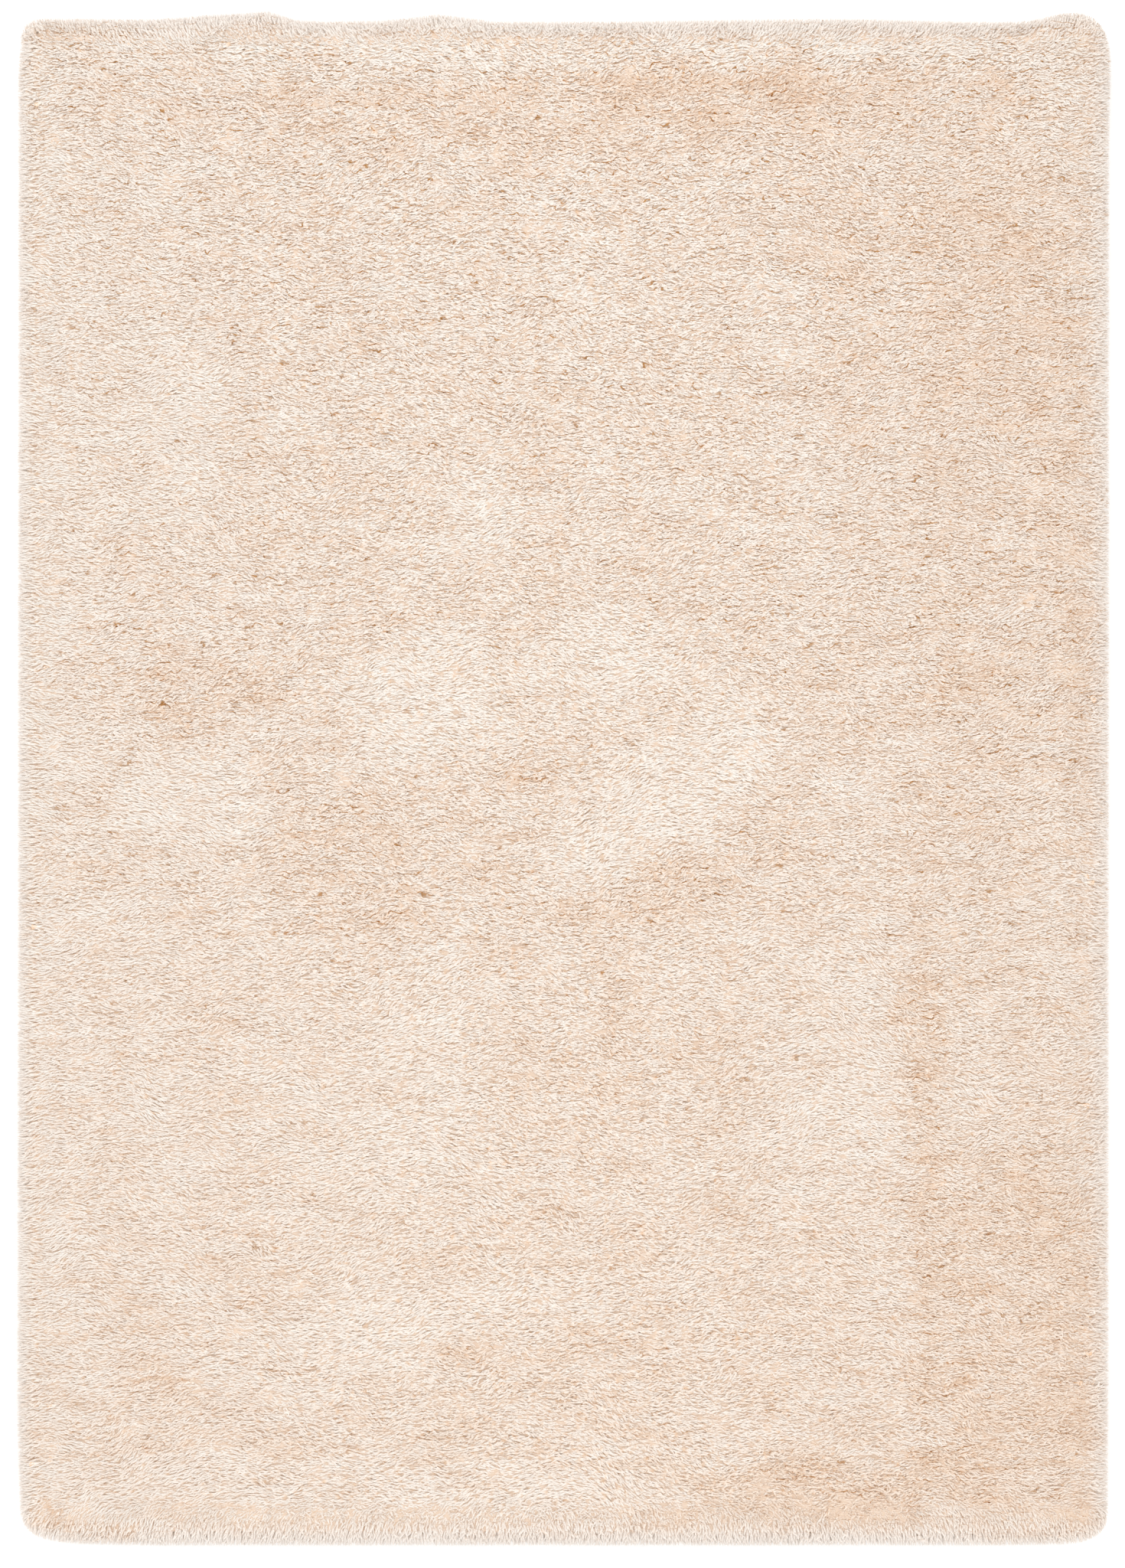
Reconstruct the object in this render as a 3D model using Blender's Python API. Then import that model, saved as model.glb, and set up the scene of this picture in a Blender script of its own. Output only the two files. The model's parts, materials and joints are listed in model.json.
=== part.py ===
"""Shag rug, about 5 by 7 feet: one flat, thick, cream rug lying on the floor.

Metres, +Z up.  The origin is on the floor under the middle of the rug.  +Y runs
along the rug and +X across it.  The solid reaches as far as the pile does: it is
flat underneath, where the ground cloth rests, the outermost tufts droop past the
cloth all round, and the top rises over a soft shoulder to the field of the pile.
"""
from math import cos, exp, hypot, pi, sin

import bmesh
import bpy

# Driving dimensions
RUG_WIDTH = 1.524            # 5 ft, between the mean lines of the two long edges
RUG_LENGTH = 2.130           # a little under 7 ft, between the mean lines of the short edges
PILE_TOP = 0.038             # floor to the tips of the tufts in the field
CLOTH_INSET = 0.016          # the ground cloth ends this far inside the tips of the pile
DROOP_HEIGHT = 0.009         # floor to the tips that reach out furthest
FIELD_STEP_X = 0.040         # spacing of the surface's sections across the field
FIELD_STEP_Y = 0.075         # and along it

PILE_COLOUR = (0.80, 0.69, 0.58, 1.0)
PILE_ROUGHNESS = 0.95

# The pile's section at an edge, outermost first: how far inside the tips, how high.
SHOULDER = (
    # name                inset   share of PILE_TOP
    ("furthest tips",     0.000,  DROOP_HEIGHT / PILE_TOP),
    ("outer curve",       0.003,  0.47),
    ("bend of the tufts", 0.009,  0.68),
    ("shoulder",          0.020,  0.85),
    ("top of shoulder",   0.038,  0.95),
    ("edge of field",     0.060,  1.00),
    ("parting",           0.083,  1.00),
    ("field",             0.108,  1.00),
)

# Below the furthest tips the outer tufts curl back to the hem of the ground cloth.
UNDERCURL = (
    # name             inset             height
    ("curl",           0.004,            0.0025),
    ("hem at floor",   CLOTH_INSET,      0.0),
)

# Each edge wavers about its mean line.  Along runs left to right on the short edges
# and from the top end down on the long ones; out is away from the rug's middle.
EDGE_SECTIONS = {
    "top": (
        # name                along   out
        ("left corner",       0.023,  0.0027),
        ("first hollow",      0.177,  0.0016),
        ("wave rises",        0.295,  0.0090),
        ("tall wave",         0.341,  0.0138),
        ("second hollow",     0.402, -0.0018),
        ("foot of wave",      0.509,  0.0000),
        ("low wave",          0.597,  0.0093),
        ("third hollow",      0.652, -0.0014),
        ("long hollow",       0.777, -0.0016),
        ("broad swell",       1.125,  0.0021),
        ("last hollow",       1.400, -0.0024),
        ("ear",               1.482,  0.0115),
        ("right corner",      1.513,  0.0080),
    ),
    "bottom": (
        ("left corner",       0.034, -0.0075),
        ("corner ends",       0.081, -0.0020),
        ("straight starts",   0.188,  0.0000),
        ("straight ends",     1.369,  0.0000),
        ("corner starts",     1.472, -0.0020),
        ("right corner",      1.506, -0.0064),
    ),
    "left": (
        ("top corner",        0.022, -0.0047),
        ("corner ends",       0.078, -0.0007),
        ("middle",            1.060,  0.0000),
        ("lower swell",       1.982,  0.0009),
        ("bottom corner",     2.072, -0.0027),
    ),
    "right": (
        ("top corner",        0.011, -0.0046),
        ("below the ear",     0.052,  0.0018),
        ("straight starts",   0.185, -0.0003),
        ("lower stretch",     1.900, -0.0014),
        ("bottom corner",     2.087, -0.0025),
    ),
}

CORNER_RADII = {
    ("left", "top"): 0.024,
    ("right", "top"): 0.034,
    ("left", "bottom"): 0.044,
    ("right", "bottom"): 0.036,
}

# Creases in the top, where the pile parts: ends in x and y, half the width, depth.
CREASES = (
    # name               x0      y0      x1      y1     half    depth
    ("long parting",     0.014,  0.977,  0.690,  0.968, 0.020,  0.0050),
    ("corner crease",    0.600,  0.975,  0.632,  0.950, 0.016,  0.0040),
    ("left parting",    -0.430,  0.945,  0.000,  0.958, 0.026,  0.0020),
    ("lower fold line", -0.620, -0.838,  0.600, -0.836, 0.040,  0.0015),
)

# Long soft waves of the field: lengths and phases across and along, and height.
FIELD_WAVES = (
    # name               length x  phase x  length y  phase y  height
    ("broad sway",       1.30,     0.4,     1.70,     1.1,     0.0012),
    ("slow swell",       0.71,     2.2,     0.96,     0.3,     0.0009),
    ("short swell",      0.43,     1.7,     0.52,     2.6,     0.0006),
)


def ease(share):
    """A smooth step from 0 to 1."""
    return (1 - cos(pi * share)) / 2


def edge_out(edge, along):
    """How far the named edge stands out from its mean line, at a place along it."""
    sections = EDGE_SECTIONS[edge]
    if along <= sections[0][1]:
        return sections[0][2]
    for (_, start, out_start), (_, end, out_end) in zip(sections, sections[1:]):
        if along <= end:
            return out_start + (out_end - out_start) * ease((along - start) / (end - start))
    return sections[-1][2]


def stations(full, step):
    """Places across the full width: the shoulder's insets on both sides, evenly between."""
    insets = [inset for _, inset, _ in SHOULDER]
    inner = full - 2 * insets[-1]
    count = round(inner / step)
    between = [insets[-1] + inner * k / count for k in range(1, count)]
    return insets + between + [full - inset for inset in reversed(insets)]


def shoulder_height(inset):
    """Height of the pile at a distance inside its tips."""
    for (_, near, low), (_, far, high) in zip(SHOULDER, SHOULDER[1:]):
        if inset <= far:
            return PILE_TOP * (low + (high - low) * (inset - near) / (far - near))
    return PILE_TOP


def distance_to_stretch(x, y, x0, y0, x1, y1):
    """Distance of a point from the straight stretch between two others."""
    run_x, run_y = x1 - x0, y1 - y0
    share = ((x - x0) * run_x + (y - y0) * run_y) / (run_x ** 2 + run_y ** 2)
    share = min(1.0, max(0.0, share))
    return hypot(x - x0 - share * run_x, y - y0 - share * run_y)


def field_relief(x, y):
    """Soft waves and creases of the field."""
    relief = 0.0
    for _, length_x, phase_x, length_y, phase_y, height in FIELD_WAVES:
        relief += height * sin(2 * pi * x / length_x + phase_x) * sin(2 * pi * y / length_y + phase_y)
    for _, x0, y0, x1, y1, half, depth in CREASES:
        relief -= depth * exp(-(distance_to_stretch(x, y, x0, y0, x1, y1) / half) ** 2)
    return relief


def round_corner(x, y):
    """Move a point of the straight-sided plan so that the plan's corners are round."""
    side = "left" if x < 0 else "right"
    end = "top" if y > 0 else "bottom"
    radius = CORNER_RADII[side, end]
    u = abs(x) - (RUG_WIDTH / 2 - radius)
    v = abs(y) - (RUG_LENGTH / 2 - radius)
    if u > 0 and v > 0:
        shrink = max(u, v) / hypot(u, v)
        x -= (u - u * shrink) * (1 if x > 0 else -1)
        y -= (v - v * shrink) * (1 if y > 0 else -1)
    return x, y


def waver(x, y):
    """Carry the edges' waver into the plan: full at the edge, fading to the middle."""
    along_x = x + RUG_WIDTH / 2
    along_y = RUG_LENGTH / 2 - y
    share_x = (abs(x) / (RUG_WIDTH / 2)) ** 8
    share_y = (abs(y) / (RUG_LENGTH / 2)) ** 12
    side = edge_out("left" if x < 0 else "right", along_y) * share_x
    end = edge_out("bottom" if y < 0 else "top", along_x) * share_y
    return x + side * (1 if x > 0 else -1), y + end * (1 if y > 0 else -1)


def lay_top(mesh):
    """Make a plain grid, and move its vertices to the pile's plan and height."""
    across = stations(RUG_WIDTH, FIELD_STEP_X)
    along = stations(RUG_LENGTH, FIELD_STEP_Y)
    columns, rows = len(across), len(along)
    bmesh.ops.create_grid(mesh, x_segments=columns - 1, y_segments=rows - 1, size=0.5)
    for vert in mesh.verts:
        column = round((vert.co.x + 0.5) * (columns - 1))
        row = round((vert.co.y + 0.5) * (rows - 1))
        inset = min(across[column], RUG_WIDTH - across[column], along[row], RUG_LENGTH - along[row])
        x, y = round_corner(across[column] - RUG_WIDTH / 2, along[row] - RUG_LENGTH / 2)
        height = shoulder_height(inset)
        height += field_relief(x, y) * min(1.0, inset / SHOULDER[-1][1])
        vert.co = (*waver(x, y), height)


def curl_under(mesh):
    """Turn the outer tufts back under to the hem, and close the flat underside."""
    rim = [edge for edge in mesh.edges if edge.is_boundary]
    reached = 0.0
    for _, inset, height in UNDERCURL:
        extruded = bmesh.ops.extrude_edge_only(mesh, edges=rim)["geom"]
        rim = [item for item in extruded if isinstance(item, bmesh.types.BMEdge)]
        for vert in (item for item in extruded if isinstance(item, bmesh.types.BMVert)):
            vert.co.x *= 1 - (inset - reached) / (RUG_WIDTH / 2)
            vert.co.y *= 1 - (inset - reached) / (RUG_LENGTH / 2)
            vert.co.z = height
        reached = inset
    bmesh.ops.contextual_create(mesh, geom=rim)


def centre_on_floor(mesh):
    """Put the middle of the rug's box over the origin."""
    for axis in (0, 1):
        low = min(vert.co[axis] for vert in mesh.verts)
        high = max(vert.co[axis] for vert in mesh.verts)
        for vert in mesh.verts:
            vert.co[axis] -= (low + high) / 2


def pile_material():
    """Matt cream yarn."""
    material = bpy.data.materials.new("pile")
    material.use_nodes = True
    shader = material.node_tree.nodes["Principled BSDF"]
    shader.inputs["Base Color"].default_value = PILE_COLOUR
    shader.inputs["Roughness"].default_value = PILE_ROUGHNESS
    shader.inputs["Metallic"].default_value = 0.0
    material.diffuse_color = PILE_COLOUR
    return material


def make_rug(collection):
    """The rug: ground cloth and pile are worked in one piece, so it is one solid."""
    mesh = bmesh.new()
    lay_top(mesh)
    curl_under(mesh)
    centre_on_floor(mesh)
    bmesh.ops.recalc_face_normals(mesh, faces=mesh.faces)
    data = bpy.data.meshes.new("rug")
    mesh.to_mesh(data)
    mesh.free()
    data.materials.append(pile_material())
    data.shade_smooth()
    rug = bpy.data.objects.new("rug", data)
    collection.objects.link(rug)


def main():
    for old in list(bpy.data.objects):
        bpy.data.objects.remove(old, do_unlink=True)
    collection = bpy.data.collections.new("shag_rug")
    bpy.context.scene.collection.children.link(collection)
    make_rug(collection)


main()
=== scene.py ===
# %% [markdown]
# # A shag rug, tuft by tuft
#
# This rug is a ground cloth with thick, soft yarn worked through it. From above
# nothing shows but the yarn: thousands of cream ends, brushed mostly sideways, with
# thin tan cracks where the brushed locks part. The lesson lays the cloth, fills the
# deep part of the pile with one dense body, and plants the ends that show on top of
# it, each with its own lean, length and tone.

# %% Load the rug's frame
import json
from math import cos, pi, radians, sin, sqrt

import bmesh
import bpy
import numpy as np
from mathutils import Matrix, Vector
from mathutils.bvhtree import BVHTree
from mathutils.kdtree import KDTree

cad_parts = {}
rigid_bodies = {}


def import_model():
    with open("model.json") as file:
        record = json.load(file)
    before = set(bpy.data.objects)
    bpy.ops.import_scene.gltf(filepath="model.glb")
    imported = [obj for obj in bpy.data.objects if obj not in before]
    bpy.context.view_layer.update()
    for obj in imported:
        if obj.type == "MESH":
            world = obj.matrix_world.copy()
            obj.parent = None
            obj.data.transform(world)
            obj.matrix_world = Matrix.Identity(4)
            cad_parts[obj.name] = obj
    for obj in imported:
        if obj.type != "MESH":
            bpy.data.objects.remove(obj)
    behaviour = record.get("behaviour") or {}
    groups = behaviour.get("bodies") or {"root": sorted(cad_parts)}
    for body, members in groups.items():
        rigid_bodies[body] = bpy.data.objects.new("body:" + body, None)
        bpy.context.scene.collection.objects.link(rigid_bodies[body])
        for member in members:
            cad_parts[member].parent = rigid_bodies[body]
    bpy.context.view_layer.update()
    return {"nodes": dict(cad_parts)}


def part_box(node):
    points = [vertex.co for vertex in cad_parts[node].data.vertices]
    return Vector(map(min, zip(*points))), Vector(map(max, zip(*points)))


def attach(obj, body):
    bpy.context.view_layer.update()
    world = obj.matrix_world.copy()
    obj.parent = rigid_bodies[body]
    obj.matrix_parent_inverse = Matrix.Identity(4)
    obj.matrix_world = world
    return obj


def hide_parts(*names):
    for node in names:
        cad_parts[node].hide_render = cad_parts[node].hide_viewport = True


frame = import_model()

MM_PER_M = 1000

rug_low, rug_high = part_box("rug")
RUG_WIDTH = rug_high.x - rug_low.x
RUG_LENGTH = rug_high.y - rug_low.y
PILE_TOP = rug_high.z
print(f"rug {RUG_WIDTH:.3f} x {RUG_LENGTH:.3f} m, pile {PILE_TOP * MM_PER_M:.0f} mm high")

# %% [markdown]
# The photograph looks straight down on the rug. The camera is set first, because the
# texture is judged at its scale. A long lens from high up keeps the edges as plumb
# as they are in the picture. The picture's own frame is a little off the rug's
# middle, so the camera is moved by that much.

# %% Camera straight above
FRAME_HEIGHT_PX = 2048
RUG_WIDTH_PX = 1425
MIDDLE_OFF_PX = (-1.8, -7.7)          # from the rug's middle to the picture's
CAMERA_HEIGHT = 6.0
SENSOR = 36.0                         # mm, spans the taller side of the picture

pixel = RUG_WIDTH / RUG_WIDTH_PX
camera_data = bpy.data.cameras.new("camera")
camera_data.sensor_width = SENSOR
picture_height = FRAME_HEIGHT_PX * pixel
camera_data.lens = SENSOR * (CAMERA_HEIGHT - PILE_TOP / 2) / picture_height
camera = bpy.data.objects.new("camera", camera_data)
camera.location = (MIDDLE_OFF_PX[0] * pixel, MIDDLE_OFF_PX[1] * pixel, CAMERA_HEIGHT)
bpy.context.scene.collection.objects.link(camera)
bpy.context.scene.camera = camera
print(f"one pixel is {pixel * MM_PER_M:.2f} mm, lens {camera_data.lens:.0f} mm")

# %% [markdown]
# The light is a plain soft studio: a white sky all round, and one wide panel high
# above the far left corner, which gives the locks a lit side. The floor is pale and
# bright enough to print white, as in the photograph.

# %% Light and floor
SKY = 1.40
PANEL_ENERGY = 20
PANEL_SIZE = 3.2
PANEL_PLACE = (-1.6, 2.6, 4.2)
BOUNCES = 8                           # light wanders between the ends before it comes out
FLOOR_HALF = 30.0
FLOOR_DROP = 0.0006                   # keeps the floor just clear of the cloth
FLOOR_COLOUR = (0.93, 0.93, 0.925, 1.0)

scene = bpy.context.scene
scene.view_settings.view_transform = "Standard"
scene.cycles.diffuse_bounces = BOUNCES
world = bpy.data.worlds.new("soft_sky")
world.use_nodes = True
world.node_tree.nodes["Background"].inputs["Color"].default_value = (1.0, 1.0, 1.0, 1.0)
world.node_tree.nodes["Background"].inputs["Strength"].default_value = SKY
scene.world = world

panel_data = bpy.data.lights.new("panel", "AREA")
panel_data.energy = PANEL_ENERGY
panel_data.size = PANEL_SIZE
panel = bpy.data.objects.new("panel", panel_data)
panel.location = PANEL_PLACE
panel.rotation_euler = Vector(PANEL_PLACE).to_track_quat("Z", "Y").to_euler()
scene.collection.objects.link(panel)


def deselect_all():
    """Nothing stays selected, so that an operator acts on the new piece alone."""
    for item in bpy.context.view_layer.objects:
        item.select_set(False)


deselect_all()
bpy.ops.mesh.primitive_plane_add(size=2 * FLOOR_HALF, location=(0, 0, -FLOOR_DROP))
floor = bpy.context.object
floor.name = "floor"
floor_finish = bpy.data.materials.new("pale_floor")
floor_finish.use_nodes = True
floor_shader = floor_finish.node_tree.nodes["Principled BSDF"]
floor_shader.inputs["Base Color"].default_value = FLOOR_COLOUR
floor_shader.inputs["Roughness"].default_value = 0.9
floor_shader.inputs["Specular IOR Level"].default_value = 0.1
floor.data.materials.append(floor_finish)
print(f"sky {SKY}, panel {PANEL_ENERGY} W, floor {2 * FLOOR_HALF:.0f} m wide")

# %% [markdown]
# Yarn is never even. Most of what follows is steered by soft random fields: how the
# pile was brushed, where it stands a little higher, where it is a little paler. One
# helper makes such a field by adding a few long waves with random headings. It is
# smooth, costs nothing, and its seed makes it the same at every run.

# %% A soft random field
WAVE_SPREAD = (0.7, 1.5)              # shortest and longest wave, for the given length


def drift(x, y, length, seed, waves=7):
    """A smooth field of about unit height that changes over the given length."""
    draw = np.random.default_rng(seed)
    total = np.zeros(np.shape(x))
    for _ in range(waves):
        heading, phase = draw.uniform(0, 2 * pi, 2)
        wave = length * draw.uniform(*WAVE_SPREAD)
        total += np.sin(2 * pi * (x * cos(heading) + y * sin(heading)) / wave + phase)
    return total / sqrt(waves / 2)


def smooth_share(value, low, high):
    """0 below low, 1 above high, and an even slope between."""
    share = np.clip((value - low) / (high - low), 0, 1)
    return share * share * (3 - 2 * share)


sample = drift(np.linspace(0, 1, 1000), 0, 0.1, 1)
print(f"a field with waves of 100 mm runs from {sample.min():.1f} to {sample.max():.1f}")

# %% [markdown]
# The CAD solid already has the rug's outline and the height of its pile, so every
# yarn end is placed on that surface. The solid goes into a search tree, and a small
# helper drops plumb lines onto it to read the height of its top.

# %% Read the CAD surface
WELD = 0.00001                        # closer points of the CAD mesh are one point
DROP_FROM = 1.0                       # height where a plumb line starts
DOWN = Vector((0, 0, -1))

cad_mesh = bmesh.new()
cad_mesh.from_mesh(frame["nodes"]["rug"].data)
bmesh.ops.remove_doubles(cad_mesh, verts=cad_mesh.verts, dist=WELD)
cad_tree = BVHTree.FromBMesh(cad_mesh)


def top_height(x, y):
    """Height of the CAD surface over each place, or 0 outside the rug."""
    heights = np.zeros(len(x))
    for k, place in enumerate(zip(x, y)):
        hit = cad_tree.ray_cast(Vector((*place, DROP_FROM)), DOWN)[0]
        heights[k] = hit.z if hit else 0.0
    return heights


middle = top_height([0.0], [0.0])[0]
print(f"CAD surface has {len(cad_mesh.faces)} faces; the middle is {middle:.4f} m high")

# %% [markdown]
# The ground cloth is a plain woven sheet. It hides under the pile, so it is seen
# only from below: a rectangle with soft corners, cut a little smaller than the reach
# of the tufts, 2 mm thick. It starts as a plane and gets its corners by a bevel of
# the four corner points, a narrow ring of faces inside its edge by Inset, and its
# thickness from Solidify. A Bevel modifier takes the sharpness off the edge.

# %% Ground cloth
CLOTH_INSET = 0.016
CLOTH_THICK = 0.002
CLOTH_CORNER = 0.03
CLOTH_RING = 0.012
CLOTH_EDGE_SHARE = 0.3                # bevel of the edge, for its thickness
CLOTH_SMOOTH = 0.7                    # radians: sharper edges than this stay crisp

cloth_width = RUG_WIDTH - 2 * CLOTH_INSET
cloth_length = RUG_LENGTH - 2 * CLOTH_INSET
deselect_all()
bpy.ops.mesh.primitive_plane_add(size=1, location=(0, 0, 0))
ground_cloth = bpy.context.object
ground_cloth.name = "ground_cloth"
bpy.ops.object.mode_set(mode="EDIT")
bpy.ops.transform.resize(value=(cloth_width, cloth_length, 1))
bpy.ops.mesh.bevel(offset=CLOTH_CORNER, segments=6, affect="VERTICES")
bpy.ops.mesh.inset(thickness=CLOTH_RING, depth=0)
bpy.ops.object.mode_set(mode="OBJECT")
bpy.ops.object.modifier_add(type="SOLIDIFY")
ground_cloth.modifiers[-1].thickness = CLOTH_THICK
ground_cloth.modifiers[-1].offset = 1
bpy.ops.object.modifier_apply(modifier=ground_cloth.modifiers[-1].name)
bpy.ops.object.modifier_add(type="BEVEL")
ground_cloth.modifiers[-1].width = CLOTH_THICK * CLOTH_EDGE_SHARE
ground_cloth.modifiers[-1].segments = 2
bpy.ops.object.modifier_apply(modifier=ground_cloth.modifiers[-1].name)
bpy.ops.object.shade_smooth_by_angle(angle=CLOTH_SMOOTH)
print(f"ground cloth {cloth_width:.3f} x {cloth_length:.3f} m, {len(ground_cloth.data.polygons)} faces")

# %% [markdown]
# Deep in the pile the yarn stands so close that it reads as one dark, warm mass. It
# is made as one body under the ends: a grid whose points drop to the CAD surface and
# then sink below it. Its rim is extruded, flattened onto the cloth and closed by one
# face, so the body has an inside. Making every hidden strand down to the cloth would
# cost millions of faces that nobody sees.

# %% Deep pile
DEEP_BELOW = 0.0040                   # how far the mass lies under the tips
DEEP_EDGE = 0.0015                    # and how much further at its edges
DEEP_EDGE_BAND = 0.05
DEEP_INSET = 0.013                    # how far it stops inside the rug's box
DEEP_INSET_ENDS = 0.019               # and at the short edges, which wave
DEEP_CORNER = 0.035
DEEP_STEP = 0.020
DEEP_ROUGH = 0.0006                   # height of its small random waves
DEEP_ROUGH_LENGTH = 0.045
DEEP_ROUGH_STRETCH = 2.2              # how much longer they are across the rug
DEEP_LEAST = 0.002                    # least height of its top over the cloth
CLOTH_GAP = 0.0003                    # keeps its underside just clear of the cloth
DEEP_SMOOTH = 1.2                     # radians

deep_half_x = RUG_WIDTH / 2 - DEEP_INSET
deep_half_y = RUG_LENGTH / 2 - DEEP_INSET_ENDS
grid_columns = round(2 * deep_half_x / DEEP_STEP)
grid_rows = round(2 * deep_half_y / DEEP_STEP)
deselect_all()
bpy.ops.mesh.primitive_grid_add(x_subdivisions=grid_columns, y_subdivisions=grid_rows, size=2)
deep_pile = bpy.context.object
deep_pile.name = "deep_pile"
grid = np.empty(len(deep_pile.data.vertices) * 3)
deep_pile.data.vertices.foreach_get("co", grid)
grid = grid.reshape(-1, 3) * (deep_half_x, deep_half_y, 1)
over_x = np.abs(grid[:, 0]) - (deep_half_x - DEEP_CORNER)
over_y = np.abs(grid[:, 1]) - (deep_half_y - DEEP_CORNER)
in_corner = (over_x > 0) & (over_y > 0)
diagonal = np.where(in_corner, np.hypot(over_x, over_y), 1)
drawn_in = np.where(in_corner, 1 - np.maximum(over_x, over_y) / diagonal, 0)
for axis, over in ((0, over_x), (1, over_y)):
    grid[:, axis] -= over * drawn_in * np.sign(grid[:, axis])
surface = top_height(grid[:, 0], grid[:, 1])
rough = DEEP_ROUGH * drift(grid[:, 0], grid[:, 1] * DEEP_ROUGH_STRETCH, DEEP_ROUGH_LENGTH, 21, 12)
from_side = np.minimum(deep_half_x - np.abs(grid[:, 0]), deep_half_y - np.abs(grid[:, 1]))
shy = DEEP_EDGE * (1 - smooth_share(from_side, 0, DEEP_EDGE_BAND))
grid[:, 2] = np.maximum(surface - DEEP_BELOW - shy + rough, CLOTH_THICK + DEEP_LEAST)
deep_pile.data.vertices.foreach_set("co", grid.ravel())
bpy.ops.object.mode_set(mode="EDIT")
bpy.ops.mesh.select_all(action="DESELECT")
bpy.ops.mesh.select_mode(type="EDGE")
bpy.ops.mesh.select_non_manifold()
bpy.ops.mesh.extrude_edges_move()
bpy.ops.transform.resize(value=(1, 1, 0), center_override=(0, 0, CLOTH_THICK + CLOTH_GAP))
bpy.ops.mesh.edge_face_add()
bpy.ops.mesh.select_all(action="SELECT")
bpy.ops.mesh.normals_make_consistent(inside=False)
bpy.ops.object.mode_set(mode="OBJECT")
bpy.ops.object.shade_smooth_by_angle(angle=DEEP_SMOOTH)
print(f"deep pile has {len(deep_pile.data.polygons)} faces")

# %% [markdown]
# Where do the ends go? Even spacing matters more than anything else: purely random
# places leave bald spots. Blender's Distribute Points on Faces with a Poisson disc
# keeps every two ends a set distance apart, and it also covers the steep sides,
# where a flat grid seen from above would leave the yarn thin. The tips are what
# shows, so the points are the places of the tips, on the CAD surface itself.

# %% Places of the tips
TIP_SPACING = 0.00287
TIP_SEED = 5
TRIES = 8                             # points tried for each square of the spacing
UNDERSIDE = -0.3                      # a face whose normal points lower isn't planted


def planting_surface():
    """A copy of the CAD surface without its flat underside."""
    sheet = cad_mesh.copy()
    under = [face for face in sheet.faces if face.normal.z < UNDERSIDE]
    bmesh.ops.delete(sheet, geom=under, context="FACES")
    data = bpy.data.meshes.new("planting")
    sheet.to_mesh(data)
    sheet.free()
    data.shade_smooth()
    made = bpy.data.objects.new("planting", data)
    bpy.context.scene.collection.objects.link(made)
    return made


def scatter_tree(spacing, seed):
    """Geometry nodes that turn a surface into evenly spaced points that know its normal."""
    tree = bpy.data.node_groups.new("scatter", "GeometryNodeTree")
    tree.interface.new_socket("Geometry", in_out="INPUT", socket_type="NodeSocketGeometry")
    tree.interface.new_socket("Geometry", in_out="OUTPUT", socket_type="NodeSocketGeometry")
    entry = tree.nodes.new("NodeGroupInput")
    leave = tree.nodes.new("NodeGroupOutput")
    scatter = tree.nodes.new("GeometryNodeDistributePointsOnFaces")
    scatter.distribute_method = "POISSON"
    scatter.inputs["Distance Min"].default_value = spacing
    scatter.inputs["Density Max"].default_value = TRIES / spacing ** 2
    scatter.inputs["Seed"].default_value = seed
    keep = tree.nodes.new("GeometryNodeStoreNamedAttribute")
    keep.data_type = "FLOAT_VECTOR"
    keep.domain = "POINT"
    keep.inputs["Name"].default_value = "outward"
    vertices = tree.nodes.new("GeometryNodePointsToVertices")
    tree.links.new(entry.outputs["Geometry"], scatter.inputs["Mesh"])
    tree.links.new(scatter.outputs["Points"], keep.inputs["Geometry"])
    tree.links.new(scatter.outputs["Normal"], keep.inputs["Value"])
    tree.links.new(keep.outputs["Geometry"], vertices.inputs["Points"])
    tree.links.new(vertices.outputs["Mesh"], leave.inputs["Geometry"])
    return tree


def scatter_tips(spacing, seed):
    """Places and outward directions of the tips, as two arrays."""
    surface = planting_surface()
    nodes = surface.modifiers.new("scatter", "NODES")
    nodes.node_group = scatter_tree(spacing, seed)
    made = surface.evaluated_get(bpy.context.evaluated_depsgraph_get()).data
    place = np.empty(len(made.vertices) * 3)
    made.vertices.foreach_get("co", place)
    outward = np.empty(len(made.vertices) * 3)
    made.attributes["outward"].data.foreach_get("vector", outward)
    bpy.data.objects.remove(surface)
    return place.reshape(-1, 3), outward.reshape(-1, 3)


tip, outward = scatter_tips(TIP_SPACING, TIP_SEED)
CM2_PER_M2 = 10000
density = len(tip) / (RUG_WIDTH * RUG_LENGTH * CM2_PER_M2)
print(f"{len(tip)} tips, about {density:.1f} to the square centimetre")

# %% [markdown]
# The outline in the picture is crisp, so the ends near it must know how far they
# are from it. The CAD surface is widest along one ring of edges, at the furthest
# tips. Points along that ring go into a search tree, and each tip asks for the nearest.

# %% Distance to the outline
RIM_HEIGHT = 0.009                    # of the CAD surface's widest ring
RIM_HEIGHT_SLACK = 0.0003
RIM_STEPS = 24                        # points along each edge of the ring
RIM_LOOK = 0.12                       # tips further inside than this aren't measured
RIM_NEAREST = 0.0005                  # keeps the direction finite on the outline itself


def outline_points():
    """Places along the widest ring of the CAD surface, in plan."""
    ring = [edge for edge in cad_mesh.edges
            if all(abs(vert.co.z - RIM_HEIGHT) < RIM_HEIGHT_SLACK for vert in edge.verts)]
    places = [edge.verts[0].co.lerp(edge.verts[1].co, k / RIM_STEPS)
              for edge in ring for k in range(RIM_STEPS)]
    return [Vector((place.x, place.y, 0)) for place in places]


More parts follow.
